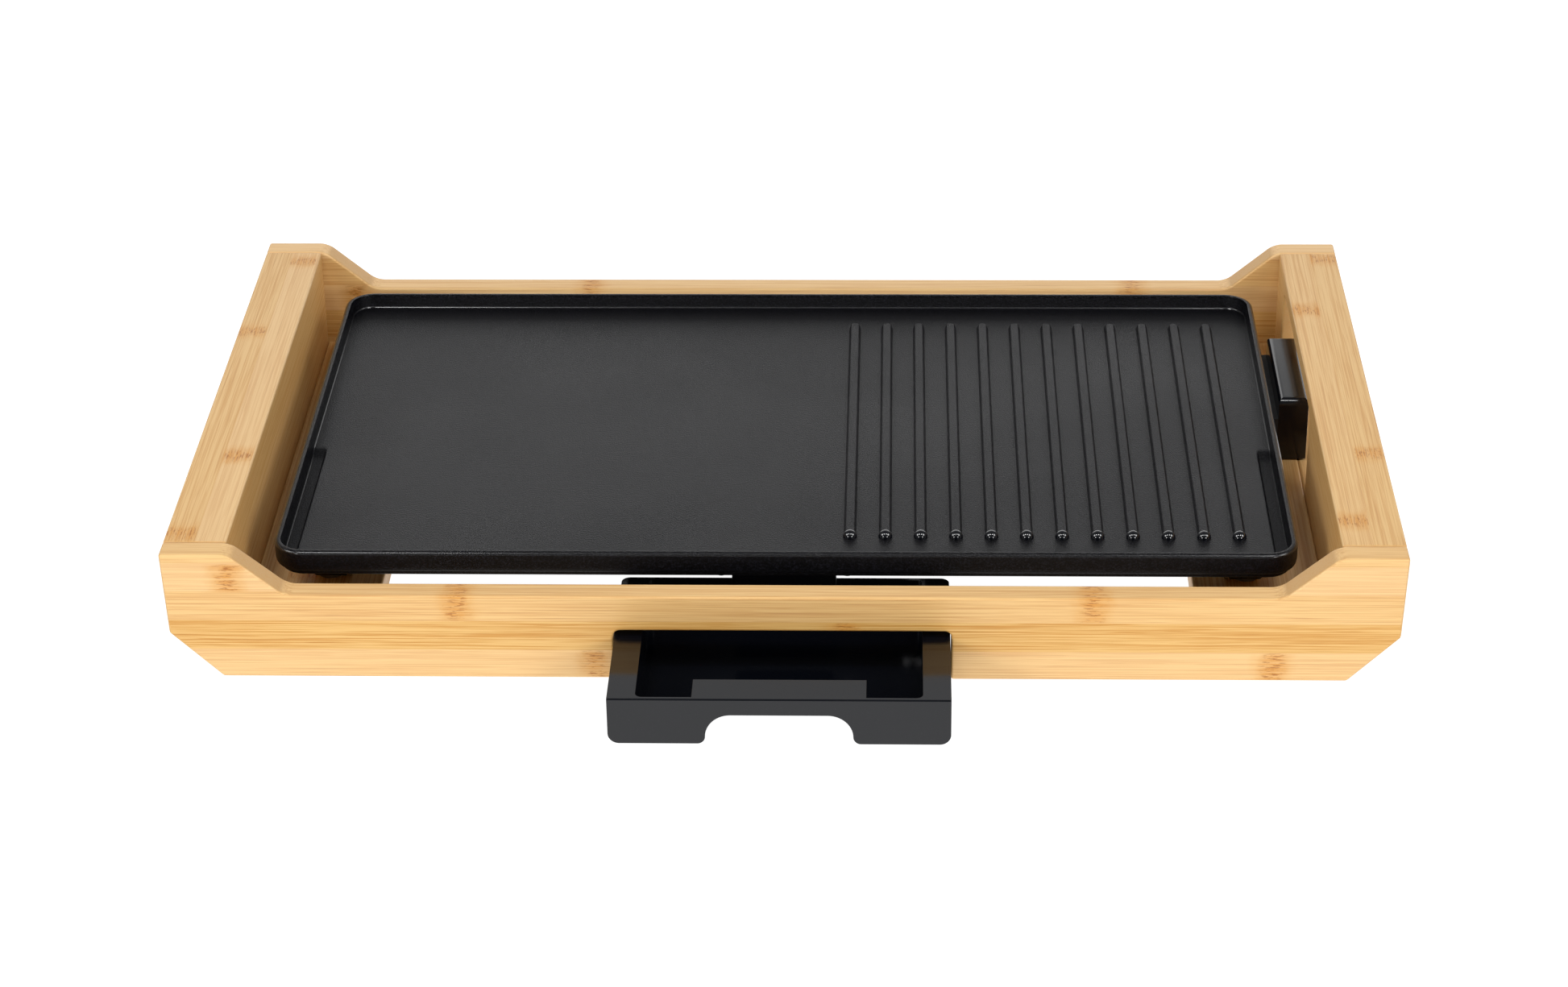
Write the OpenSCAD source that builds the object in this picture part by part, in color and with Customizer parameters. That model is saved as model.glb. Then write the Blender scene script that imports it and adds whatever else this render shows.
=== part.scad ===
// Electric griddle in a bamboo serving frame, with a pull-out drip tray.
// X runs along the frame, -Y is the front where the tray comes out, and +Z is up.
// The origin is on the table under the middle of the whole object, tray included.
// Inside the modules, Y is counted from the middle of the frame: in_frame() moves it over.

/* [Frame] */
// Length of the frame, end to end
frame_w = 560; // [550:2:580]
// Depth of the frame, front face to back face
frame_d = 330; // [328:1:340]
// Height of the end rails above the table
frame_h = 65; // [64:0.5:70]
// Height of the front and back boards between their slopes
low_h = 44; // [42:0.5:46]
// Thickness of the front and back boards
board_t = 12; // [11:0.5:13]
// Width of an end rail, seen from above
rail_w = 29; // [27:0.5:29]
// Width of a bottom board
base_w = 61; // [58:1:64]
// Thickness of a bottom board
base_t = 12; // [10:0.5:12]
// Height of the silicone pads that the frame stands on
pad_h = 1; // [0.8:0.1:2]

/* [Griddle plate] */
// Width of the plate over its rim
plate_w = 470; // [466:1:472]
// Depth of the plate over its rim
plate_d = 272; // [268:1:276]
// Height of the rim's top above the table
plate_h = 50; // [49:0.5:52]
// Height of the rim's outer wall
rim_h = 10.5; // [9:0.5:11]
// Depth of the cooking well below the rim
well_depth = 7; // [6:0.5:7.5]
// Width of the rim's top
rim_t = 3.6; // [3:0.2:4]
// Radius of the plate's corners
corner_r = 14; // [12:1:18]
// Number of ribs on the right half
rib_count = 12; // [8:1:12]
// Spacing of the ribs
rib_pitch = 16.35; // [14:0.05:16.4]
// Height of a rib above the well
rib_h = 2.5; // [1.5:0.25:3]
// Width of the grease gutter
gutter_w = 6.8; // [5:0.2:8]
// Depth of the grease gutter below the well
gutter_depth = 2; // [1:0.25:2.5]

/* [Drip tray] */
// Width of the drip tray
tray_w = 152; // [140:1:154]
// Length of the drip tray, front panel to back wall
tray_d = 106; // [95:1:108]
// Height of the drip tray
tray_h = 23; // [20:0.5:24]
// How far the front panel stands out of the frame as stored
tray_out = 53; // [45:1:56]
// Width of the finger arch at its top
arch_w = 43; // [38:1:46]

/* [Socket] */
// Middle of the thermostat socket, from the frame's middle
socket_y = 57.5; // [56:0.5:58]
// Length of the socket housing along the rail
socket_d = 70; // [68:1:72]
// Radius of a terminal pin
pin_r = 2.5; // [2:0.1:2.8]
// Inner radius of the thermostat probe's tube
probe_r = 3.1; // [2.6:0.1:3.2]

/* [Hidden] */
$fn = 64;
eps = 0.01;

bamboo = [0.87, 0.71, 0.47];
beech = [0.80, 0.62, 0.40];
coating = [0.14, 0.14, 0.15];
black = [0.07, 0.07, 0.08];
steel = [0.72, 0.73, 0.74];
silicone = [0.30, 0.30, 0.31];
ceramic = [0.90, 0.88, 0.83];

// Frame
half_w = frame_w / 2;
half_d = frame_d / 2;
inner_d = half_d - board_t;
rail_x = half_w - rail_w;
end_lean = 1.4;
end_chamfer = 23;
slope_top = 31;
slope_foot = 55.5;
base_top = pad_h + base_t;

// Tray slot in the front board, and plug opening in the right rail
slot_w = tray_w + 1.6;
slot_h = tray_h + 3.2;
slot_r = 3;
plug_y = [-10, 125];
plug_top = 56;
plug_r = 5;

// Dowels
dowel_r = 4;
thin_dowel_r = 3;
dowel_depth = 8.5;
dowel_reach = 21;
dowel_play = 0.05;
rail_dowel_x = half_w - 16;
rail_dowel_z = [24, 52];
base_dowel_x = [rail_x - 15, rail_x - 46];
base_dowel_z = pad_h + base_t / 2;

// Silicone pads under the frame
pad_r = 8;
pad_recess = 0.5;
pad_at = [rail_x - base_w / 2, inner_d - 16];

// Plate
well_z = plate_h - well_depth;
under_z = 36.5;
under_inset = 3;
well_r = corner_r - rim_t;
rib_top_w = 3.8;
rib_foot_w = 6.4;
rib_y = [-107.3, 108];
rib_x = [for (i = [0 : rib_count - 1]) 120 + rib_pitch * (i - (rib_count - 1) / 2)];
bead_r = 3.3;
gutter_z = well_z - gutter_depth;
gutter_end = -22.5;
gutter_ramp = 6;

// Drain and its spout
drain_w = 36;
drain_d = 5;
drain_y = -(plate_d / 2 - rim_t - gutter_w / 2 - 1);
spout_w = 48;
spout_d = 15;
spout_y = drain_y + 3.5;
spout_z = 27;
spout_wall = 1.8;
ear_w = 68;
ear_d = 9;
ear_t = 1.5;
spout_screw_x = 29;

// Legs under the plate
leg_w = 21;
leg_d = 16;
leg_x = 215.5;
leg_y = 90;
leg_pad_h = 2;
leg_z = base_top + leg_pad_h;
shoulder_z = 25;
bracket_t = 1.4;
bracket_w = 12;
bracket_screw_x = 191;

// Heating element: a folded tube in four runs
tube_r = 3.25;
tube_z = under_z - tube_r - 0.05;
fold_r = 33.25;
run_y = [socket_y + 11, socket_y - 11, socket_y - 11 - 2 * fold_r, socket_y - 11 - 4 * fold_r];
tube_end = 212;
tube_left = -185;
fold_left = -118;
fold_right = 150;
clips = [[-110, run_y[0], 1], [30, run_y[0], 1], [-80, run_y[1], -1], [60, run_y[1], -1],
         [-80, run_y[2], -1], [60, run_y[2], -1], [-80, run_y[3], -1], [60, run_y[3], -1]];
clip_w = 10;
clip_t = 1.2;
clip_ear = 9;

// Thermostat socket
socket_x = [240, 254.5];
socket_z = [14, 47.2];
socket_wall = 3.2;
socket_r = 3;
shelf_x = 228.5;
neck_x = 206;
neck_w = 35;
neck_z = 17;
neck_top = under_z - 0.1;
neck_wall = 2;
block_x = [214, 226];
pin_z = 27.4;
pin_x = [208.5, block_x[1] + 0.1, 249];
pin_tip = 1;
shank_r = 2.1;
probe_wall = 1.1;
probe_z = 30.6;
probe_x = [150, 228];
probe_boss_w = 8;
strap_x = [210, 222];
strap_t = 1.2;
strap_ear = 5.4;

// Screws
screw_r = 1.5;
screw_play = 0.05;
screw_head_r = 2.6;
screw_head_h = 1.8;
screw_top = 40.5;
leg_screw_r = 2;

// Tray
tray_z = 0.3;
tray_front = -half_d - tray_out;
tray_back = tray_front + tray_d;
tray_wall = 1.8;
tray_rim = 12.5;
tray_corner = 4;
tray_foot_r = 5;
pocket_w = 77;
pocket_d = 16.7;
pocket_lean = 11.5;
arch_h = 14.8;
arch_r = 11.3;
arch_foot_r = 3.5;

// Middle of the whole object along Y, counted from the frame's middle
middle_y = (half_d + tray_front) / 2;

module in_frame() translate([0, -middle_y, 0]) children();

// Outline in X and Z, run along Y
module along_y(from, to)
    translate([0, to, 0]) rotate([90, 0, 0]) linear_extrude(to - from) children();

// Outline in Y and Z, run along X
module along_x(from, to)
    translate([from, 0, 0]) rotate([90, 0, 90]) linear_extrude(to - from) children();

module rounded_rect(w, d, r) {
    square([w - 2 * r, d], center = true);
    square([w, d - 2 * r], center = true);
    for (x = [-1, 1], y = [-1, 1]) translate([x * (w / 2 - r), y * (d / 2 - r)]) circle(r);
}

// A doorway outline that stands on y = 0 and has round top corners
module doorway(w, h, r) {
    translate([-w / 2, 0]) square([w, h - r]);
    translate([-w / 2 + r, 0]) square([w - 2 * r, h]);
    for (x = [-1, 1]) translate([x * (w / 2 - r), h - r]) circle(r);
}

function mirrored(points) =
    concat(points, [for (i = [len(points) - 1 : -1 : 0]) [-points[i][0], points[i][1]]]);

// ---- Frame ----

// One end of the board's outline, from its low top edge out and down to its foot
board_end = [
    [half_w - slope_foot, low_h],
    [half_w - slope_top, frame_h],
    [half_w, frame_h],
    [half_w - end_lean, pad_h + end_chamfer],
    [half_w - end_lean - end_chamfer, pad_h],
];

module board_blank(from, to) along_y(from, to) polygon(mirrored(board_end));

// Dowel bores of one board or one set of end pieces, as bars along Y
module rail_dowel_bars(from, to, sides = [-1, 1])
    for (x = sides, z = rail_dowel_z)
        translate([x * rail_dowel_x, 0, z]) along_y(from, to) circle(dowel_r);

module base_dowel_bars(from, to, sides = [-1, 1])
    for (side = sides, x = base_dowel_x)
        translate([side * x, 0, base_dowel_z]) along_y(from, to) circle(thin_dowel_r);

module front_board() in_frame() color(bamboo) difference() {
    board_blank(-half_d, -inner_d);
    along_y(-half_d - 1, -inner_d + 1) translate([0, -1]) doorway(slot_w, slot_h + 1, slot_r);
    rail_dowel_bars(-inner_d - dowel_depth, -inner_d + 1);
    base_dowel_bars(-inner_d - dowel_depth, -inner_d + 1);
}

module back_board() in_frame() color(bamboo) difference() {
    board_blank(inner_d, half_d);
    rail_dowel_bars(inner_d - 1, inner_d + dowel_depth);
    base_dowel_bars(inner_d - 1, inner_d + dowel_depth);
}

module rail(side) difference() {
    along_y(-inner_d, inner_d) scale([side, 1]) polygon([
        [rail_x, pad_h], [rail_x, frame_h], [half_w, frame_h],
        [half_w - end_lean, pad_h + end_chamfer], [half_w - end_lean - end_chamfer, pad_h],
    ]);
    rail_dowel_bars(-inner_d - 1, -inner_d + dowel_reach, [side]);
    rail_dowel_bars(inner_d - dowel_reach, inner_d + 1, [side]);
}

module left_rail() in_frame() color(bamboo) rail(-1);

// The right rail has the opening that the thermostat plug goes through
module right_rail() in_frame() color(bamboo) difference() {
    rail(1);
    along_x(rail_x - 1, half_w + 1)
        translate([(plug_y[0] + plug_y[1]) / 2, base_top])
            doorway(plug_y[1] - plug_y[0], plug_top - base_top, plug_r);
}

module bottom_board(side) difference() {
    translate([side > 0 ? rail_x - base_w : -rail_x, -inner_d, pad_h])
        cube([base_w, 2 * inner_d, base_t]);
    base_dowel_bars(-inner_d - 1, -inner_d + dowel_reach, [side]);
    base_dowel_bars(inner_d - dowel_reach, inner_d + 1, [side]);
    for (y = [-1, 1]) translate([side * pad_at[0], y * pad_at[1], 0])
        cylinder(r = pad_r, h = pad_h + pad_recess);
}

module left_bottom_board() in_frame() color(bamboo) bottom_board(-1);
module right_bottom_board() in_frame() color(bamboo) bottom_board(1);

module frame_dowels() in_frame() color(beech) {
    inset = dowel_depth - 0.3;
    reach = dowel_reach - 0.5;
    for (y = [-1, 1]) {
        from = y < 0 ? -inner_d - inset : inner_d - reach;
        to = y < 0 ? -inner_d + reach : inner_d + inset;
        for (x = [-1, 1], z = rail_dowel_z)
            translate([x * rail_dowel_x, 0, z]) along_y(from, to) circle(dowel_r - dowel_play);
        for (side = [-1, 1], x = base_dowel_x)
            translate([side * x, 0, base_dowel_z])
                along_y(from, to) circle(thin_dowel_r - dowel_play);
    }
}

module frame_pads() in_frame() color(silicone)
    for (x = [-1, 1], y = [-1, 1])
        translate([x * pad_at[0], y * pad_at[1], 0])
            cylinder(r = pad_r - 0.1, h = pad_h + pad_recess);

// ---- Griddle plate ----

module well_outline() rounded_rect(plate_w - 2 * rim_t, plate_d - 2 * rim_t, well_r);

// The gutter runs down the front of both sides and along the front
module gutter_outline() difference() {
    intersection() {
        well_outline();
        translate([-plate_w / 2, -plate_d / 2])
            square([plate_w, plate_d / 2 + gutter_end - gutter_ramp]);
    }
    translate([0, 100 - plate_d / 2 + rim_t + gutter_w])
        square([plate_w - 2 * (rim_t + gutter_w), 200], center = true);
}

module gutter_ramps() {
    side_x = plate_w / 2 - rim_t - gutter_w;
    for (x = [-side_x - gutter_w, side_x]) along_x(x, x + gutter_w) polygon([
        [gutter_end - gutter_ramp - eps, gutter_z],
        [gutter_end, well_z + eps],
        [gutter_end - gutter_ramp - eps, well_z + eps],
    ]);
}

module rib(x) translate([x, 0, well_z - eps]) {
    along_y(rib_y[0], rib_y[1])
        polygon([[-rib_foot_w / 2, 0], [rib_foot_w / 2, 0],
                 [rib_top_w / 2, rib_h], [-rib_top_w / 2, rib_h]]);
    translate([0, rib_y[1], 0]) cylinder(r1 = rib_foot_w / 2, r2 = rib_top_w / 2, h = rib_h);
    translate([0, rib_y[0], 0]) intersection() {
        sphere(bead_r);
        translate([0, 0, bead_r]) cube(2 * bead_r, center = true);
    }
}

module drain_hole(from, to) translate([0, drain_y, from]) linear_extrude(to - from) {
    square([drain_w - drain_d, drain_d], center = true);
    for (x = [-1, 1]) translate([x * (drain_w - drain_d) / 2, 0]) circle(drain_d / 2);
}

// Places of the screws that go up into the plate: x, y
leg_screw_at = [for (x = [-1, 1], y = [-1, 1]) [x * leg_x, y * leg_y]];
bracket_screw_at = [for (x = [-1, 1], y = [-1, 1]) [x * bracket_screw_x, y * leg_y]];
clip_screw_at = [for (c = clips) [c[0], c[1] + c[2] * (tube_r + clip_t + clip_ear / 2)]];
spout_screw_at = [for (x = [-1, 1]) [x * spout_screw_x, spout_y]];
strap_screw_y = neck_w / 2 + strap_t + strap_ear / 2 + 0.1;
socket_screw_at = [for (y = [-1, 1]) [(strap_x[0] + strap_x[1]) / 2, socket_y + y * strap_screw_y]];

module screw_holes(places, r) for (p = places)
    translate([p[0], p[1], under_z - 1]) cylinder(r = r, h = screw_top + 0.2 - under_z + 1);

module griddle_plate() in_frame() color(coating) {
    difference() {
        union() {
            translate([0, 0, plate_h - rim_h])
                linear_extrude(rim_h) rounded_rect(plate_w, plate_d, corner_r);
            translate([0, 0, under_z]) linear_extrude(plate_h - rim_h - under_z + 1)
                rounded_rect(plate_w - 2 * under_inset, plate_d - 2 * under_inset, corner_r - under_inset);
        }
        translate([0, 0, well_z]) linear_extrude(well_depth + 1) well_outline();
        translate([0, 0, gutter_z]) linear_extrude(gutter_depth + eps) gutter_outline();
        gutter_ramps();
        drain_hole(under_z - 1, gutter_z + 1);
        screw_holes(leg_screw_at, leg_screw_r + screw_play);
        screw_holes(concat(bracket_screw_at, clip_screw_at, spout_screw_at, socket_screw_at),
                    screw_r + screw_play);
    }
    for (x = rib_x) rib(x);
    // Boss that carries the well's heat down to the probe tube
    translate([probe_x[0], socket_y - probe_boss_w / 2, probe_z + probe_r + probe_wall + 0.05])
        cube([neck_x - 2 - probe_x[0], probe_boss_w, under_z - probe_z - probe_r - probe_wall]);
}

// ---- Heating element ----

module run(y, from, to) translate([from, y, tube_z]) rotate([0, 90, 0]) cylinder(r = tube_r, h = to - from);

module bend(x, y, start, sweep)
    translate([x, y, tube_z]) rotate([0, 0, start])
        rotate_extrude(angle = sweep) translate([fold_r, 0]) circle(tube_r);

module heating_element() in_frame() color(steel) {
    corner_x = tube_left + fold_r;
    run(run_y[0], corner_x, tube_end);
    bend(corner_x, run_y[0] - fold_r, 90, 90);
    translate([tube_left, run_y[3] + fold_r, tube_z]) rotate([-90, 0, 0])
        cylinder(r = tube_r, h = run_y[0] - run_y[3] - 2 * fold_r);
    bend(corner_x, run_y[3] + fold_r, 180, 90);
    run(run_y[3], corner_x, fold_right);
    bend(fold_right, run_y[3] + fold_r, -90, 180);
    run(run_y[2], fold_left, fold_right);
    bend(fold_left, run_y[2] + fold_r, 90, 180);
    run(run_y[1], fold_left, tube_end);
}

// A clip hooks under the tube and is screwed down on one side
module clip(x, y, side) translate([x - clip_w / 2, y, 0]) along_x(0, clip_w) difference() {
    union() {
        translate([0, tube_z]) circle(tube_r + clip_t);
        translate([side > 0 ? 0 : -tube_r - clip_t - clip_ear, under_z - clip_t])
            square([tube_r + clip_t + clip_ear, clip_t]);
    }
    translate([0, tube_z]) circle(tube_r + 0.1);
    translate([-tube_r - 0.1, tube_z]) square([2 * tube_r + 0.2, tube_r + 5]);
    translate([-50, under_z - eps]) square([100, 10]);
}

module element_clips() in_frame() color(steel) difference() {
    for (c = clips) clip(c[0], c[1], c[2]);
    for (p = clip_screw_at) translate([p[0], p[1], under_z - 5]) cylinder(r = screw_r + 0.2, h = 10);
}

// Pan-head screw that goes up into the plate, its head under a face at head_z
module screw(p, head_z, r = screw_r, head_r = screw_head_r, head_h = screw_head_h)
    translate([p[0], p[1], 0]) {
        translate([0, 0, head_z - head_h]) cylinder(r = head_r, h = head_h);
        translate([0, 0, head_z - eps]) cylinder(r = r, h = screw_top - head_z);
    }

module clip_screws() in_frame() color(steel) for (p = clip_screw_at) screw(p, under_z - clip_t - 0.02);

// ---- Drain spout ----

module drain_spout() in_frame() color(coating) difference() {
    union() {
        translate([0, spout_y, spout_z])
            linear_extrude(under_z - spout_z) rounded_rect(spout_w, spout_d, 4);
        translate([0, spout_y, under_z - ear_t])
            linear_extrude(ear_t) rounded_rect(ear_w, ear_d, 3);
    }
    translate([0, spout_y, spout_z - 1]) linear_extrude(under_z - spout_z + 2)
        rounded_rect(spout_w - 2 * spout_wall, spout_d - 2 * spout_wall, 2.5);
    for (p = spout_screw_at) translate([p[0], p[1], under_z - 5]) cylinder(r = screw_r + 0.2, h = 10);
}

module spout_screws() in_frame() color(steel) for (p = spout_screw_at) screw(p, under_z - ear_t - 0.02);

// ---- Legs ----

leg_profile = [
    [-leg_w / 2, under_z], [-leg_w / 2, leg_z + 3], [-leg_w / 2 + 2.5, leg_z],
    [leg_w / 2 - 4, leg_z], [leg_w / 2, leg_z + 5.5], [leg_w / 2, under_z],
];

module griddle_legs() in_frame() color(black) for (side = [-1, 1], y = [-1, 1]) difference() {
    translate([side * leg_x, y * leg_y, 0])
        along_y(-leg_d / 2, leg_d / 2) scale([side, 1]) polygon(leg_profile);
    translate([side * leg_x, y * leg_y, 0]) {
        cylinder(r = leg_screw_r + 0.2, h = under_z + 1);
        cylinder(r = 4.4, h = shoulder_z);
    }
}

// A pad is plugged into the leg's screw hole
module leg_pads() in_frame() color(silicone) for (p = leg_screw_at) translate([p[0], p[1], base_top]) {
    cylinder(r = 6.5, h = leg_pad_h);
    cylinder(r = 4.3, h = leg_pad_h + 5);
}

module leg_screws() in_frame() color(steel)
    for (p = leg_screw_at) screw(p, shoulder_z, leg_screw_r, 3.8, 2.4);

// A bent strip braces the inner side of each leg
bracket_profile = [
    [186, under_z], [186, under_z - bracket_t], [196.6, under_z - bracket_t],
    [203.3, leg_z + 3.5], [205.3, leg_z - 0.8], [206.8, leg_z - 0.8], [206.8, leg_z + 0.2],
    [204.8, leg_z + 3.2], [198.2, under_z],
];

module leg_brackets() in_frame() color(steel) difference() {
    for (side = [-1, 1], y = [-1, 1]) translate([0, y * leg_y, 0])
        along_y(-bracket_w / 2, bracket_w / 2) scale([side, 1]) polygon(bracket_profile);
    for (p = bracket_screw_at) translate([p[0], p[1], under_z - 5]) cylinder(r = screw_r + 0.2, h = 10);
}

module bracket_screws() in_frame() color(steel)
    for (p = bracket_screw_at) screw(p, under_z - bracket_t - 0.02);

// ---- Thermostat socket ----

// The part that stands in the rail's opening, with rounded upper edges
module socket_block() intersection() {
    translate([(socket_x[0] + socket_x[1]) / 2, 0, socket_z[0]]) along_y(socket_y - 50, socket_y + 50)
        doorway(socket_x[1] - socket_x[0], socket_z[1] - socket_z[0], socket_r);
    translate([0, socket_y, socket_z[0]]) along_x(socket_x[0] - 1, socket_x[1] + 1)
        doorway(socket_d, socket_z[1] - socket_z[0], socket_r + 1);
}

module socket_bar(x, w, z) translate([x[0], socket_y - w / 2, z[0]]) cube([x[1] - x[0], w, z[1] - z[0]]);

module socket_housing() in_frame() color(black) difference() {
    union() {
        socket_block();
        socket_bar([shelf_x, socket_x[0] + 1], socket_d, [socket_z[0], neck_top]);
        socket_bar([neck_x, shelf_x + 1], neck_w, [neck_z, neck_top]);
    }
    // Mouth for the plug, then the lower room behind it and the neck for the terminal block
    socket_bar([socket_x[0] + socket_wall, socket_x[1] + 1], socket_d - 2 * socket_wall,
               [socket_z[0] + socket_wall, socket_z[1] - socket_wall]);
    socket_bar([shelf_x + 2.5, socket_x[0] + socket_wall + eps], socket_d - 2 * socket_wall,
               [socket_z[0] + socket_wall, neck_top - 2]);
    socket_bar([neck_x + neck_wall, shelf_x + 3], neck_w - 2 * neck_wall,
               [neck_z + neck_wall, neck_top - 2]);
    socket_bar([neck_x + neck_wall, shelf_x - eps], neck_w - 2 * neck_wall,
               [neck_top - 3, neck_top + 1]);
    for (y = [run_y[0], run_y[1]]) translate([neck_x - 1, y - tube_r - 0.3, tube_z - tube_r - 0.3])
        cube([neck_wall + 2, 2 * tube_r + 0.6, 20]);
    translate([neck_x - 1, socket_y - probe_r - probe_wall - 0.3, probe_z - probe_r - probe_wall - 0.3])
        cube([neck_wall + 2, 2 * (probe_r + probe_wall) + 0.6, 20]);
}

module strap_outline() difference() {
    union() {
        translate([-neck_w / 2 - strap_t, neck_z - strap_t])
            square([neck_w + 2 * strap_t, neck_top - neck_z + strap_t]);
        translate([-neck_w / 2 - strap_t - strap_ear, neck_top - strap_t])
            square([neck_w + 2 * (strap_t + strap_ear), strap_t]);
    }
    translate([-neck_w / 2 - 0.05, neck_z - 0.05]) square([neck_w + 0.1, 30]);
}

module socket_strap() in_frame() color(steel) difference() {
    translate([0, socket_y, 0]) along_x(strap_x[0], strap_x[1]) strap_outline();
    for (p = socket_screw_at) translate([p[0], p[1], under_z - 5]) cylinder(r = screw_r + 0.2, h = 10);
}

module socket_screws() in_frame() color(steel)
    for (p = socket_screw_at) screw(p, neck_top - strap_t - 0.02);

module bar_x(y, z, r, from, to) translate([from, y, z]) rotate([0, 90, 0]) cylinder(r = r, h = to - from);

module terminal_block() in_frame() color(ceramic) difference() {
    socket_bar(block_x, neck_w - 2 * neck_wall - 0.2, [neck_z + neck_wall + 0.1, neck_top - 0.2]);
    for (y = [run_y[0], run_y[1]]) bar_x(y, pin_z, shank_r + 0.05, block_x[0] - 1, block_x[1] + 1);
    bar_x(socket_y, probe_z, probe_r + probe_wall + 0.05, block_x[0] - 1, block_x[1] + 1);
    translate([block_x[0] - 1, socket_y - probe_r - probe_wall - 0.05, probe_z])
        cube([block_x[1] - block_x[0] + 2, 2 * (probe_r + probe_wall) + 0.1, 10]);
}

module terminal_pins() in_frame() color(steel) for (y = [run_y[0], run_y[1]]) {
    bar_x(y, pin_z, shank_r, pin_x[0], pin_x[1] + eps);
    bar_x(y, pin_z, pin_r, pin_x[1], pin_x[2]);
    translate([pin_x[2] - eps, y, pin_z]) rotate([0, 90, 0])
        cylinder(r1 = pin_r, r2 = pin_r - 0.8, h = pin_tip);
}

module probe_tube() in_frame() color(steel) difference() {
    bar_x(socket_y, probe_z, probe_r + probe_wall, probe_x[0], probe_x[1]);
    bar_x(socket_y, probe_z, probe_r, probe_x[0] + 2, probe_x[1] + 1);
}

// Earth contacts on the end walls of the socket's mouth
module earth_tabs() in_frame() color(steel) for (side = [-1, 1])
    translate([234, socket_y + side * (socket_d / 2 - socket_wall - 0.5) - 0.4, 20]) cube([17, 0.8, 8]);

// ---- Drip tray ----

module tray_plan(w, d, r) {
    translate([-w / 2, 0]) square([w, d - r]);
    translate([-w / 2 + r, 0]) square([w - 2 * r, d]);
    for (x = [-1, 1]) translate([x * (w / 2 - r), d - r]) circle(r);
}

// Finger arch in the front panel: a flat top, hollow shoulders and rounded feet
module arch_outline() {
    foot = arch_w + 2 * arch_r;
    difference() {
        translate([-foot / 2, -1]) square([foot, arch_h + 1]);
        for (x = [-1, 1]) translate([x * foot / 2, arch_h - arch_r]) difference() {
            translate([-arch_r, 0]) square([2 * arch_r, arch_r + 1]);
            translate([-x * arch_r, 0]) circle(arch_r);
            translate([x > 0 ? -2 * arch_r - 1 : arch_r, -1]) square([arch_r + 1, arch_r + 3]);
        }
    }
    for (x = [-1, 1]) difference() {
        translate([x > 0 ? foot / 2 - eps : -foot / 2 - arch_foot_r, -1])
            square([arch_foot_r + eps, arch_foot_r + 1]);
        translate([x * (foot / 2 + arch_foot_r), arch_foot_r]) circle(arch_foot_r);
    }
}

// What the rounded lower corners of the front panel take away
module foot_corners() for (x = [-1, 1]) difference() {
    translate([x > 0 ? tray_w / 2 - tray_foot_r : -tray_w / 2 - 1, -1])
        square([tray_foot_r + 1, tray_foot_r + 1]);
    translate([x * (tray_w / 2 - tray_foot_r), tray_foot_r]) circle(tray_foot_r);
}

// Side view of the finger pocket, whose back wall leans away from the panel towards its foot
function pocket_side(front, back, low, high) =
    let (lean = pocket_lean / tray_h)
    [[front, low], [front, high],
     [back + lean * (tray_h - high), high], [back + lean * (tray_h - low), low]];

module drip_tray() in_frame() color(black) translate([0, tray_front, tray_z]) difference() {
    well_w = tray_w - 2 * tray_rim;
    union() {
        difference() {
            linear_extrude(tray_h) tray_plan(tray_w, tray_d, tray_corner);
            translate([0, 2 + (tray_d - 2 - tray_wall) / 2, tray_wall])
                linear_extrude(tray_h) rounded_rect(well_w, tray_d - 2 - tray_wall, 3);
            for (x = [-1, 1])
                translate([x * (tray_w - tray_rim) / 2 - tray_rim / 2 + tray_wall, 2 + tray_wall, -1])
                    cube([tray_rim - 2 * tray_wall, tray_d - 4 - 2 * tray_wall, tray_h - tray_wall + 1]);
        }
        along_x(-pocket_w / 2, pocket_w / 2) polygon(pocket_side(1, pocket_d, 0, tray_h));
    }
    along_x(-pocket_w / 2 + tray_wall, pocket_w / 2 - tray_wall)
        polygon(pocket_side(2, pocket_d - tray_wall * 1.3, -1, tray_h - tray_wall));
    along_y(-1, 2 + eps) arch_outline();
    along_y(-1, tray_d + 1) foot_corners();
}

front_board();
back_board();
left_rail();
right_rail();
left_bottom_board();
right_bottom_board();
frame_dowels();
frame_pads();
griddle_plate();
heating_element();
element_clips();
clip_screws();
drain_spout();
spout_screws();
griddle_legs();
leg_pads();
leg_screws();
leg_brackets();
bracket_screws();
socket_housing();
socket_strap();
socket_screws();
terminal_block();
terminal_pins();
probe_tube();
earth_tabs();
drip_tray();
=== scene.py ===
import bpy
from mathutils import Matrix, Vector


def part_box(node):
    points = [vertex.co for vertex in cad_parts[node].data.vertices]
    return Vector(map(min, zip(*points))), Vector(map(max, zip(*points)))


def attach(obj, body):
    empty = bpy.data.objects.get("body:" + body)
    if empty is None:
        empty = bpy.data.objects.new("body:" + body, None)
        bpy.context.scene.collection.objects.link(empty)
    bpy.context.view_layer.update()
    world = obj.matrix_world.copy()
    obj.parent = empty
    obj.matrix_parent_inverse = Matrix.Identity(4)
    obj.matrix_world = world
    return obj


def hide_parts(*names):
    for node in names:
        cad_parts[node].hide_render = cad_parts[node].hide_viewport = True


bl_info = {
    "name": "Electric griddle",
    "version": (1, 0, 0),
    "blender": (4, 5, 0),
    "location": "3D View > Sidebar > Griddle",
    "description": "Builds the bamboo frame, cooking plate, drip tray and socket of an electric griddle",
    "category": "Object",
}

import math

import bmesh
import bpy
from bpy.props import FloatProperty, FloatVectorProperty, IntProperty, PointerProperty
from mathutils import Matrix, Vector

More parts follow.
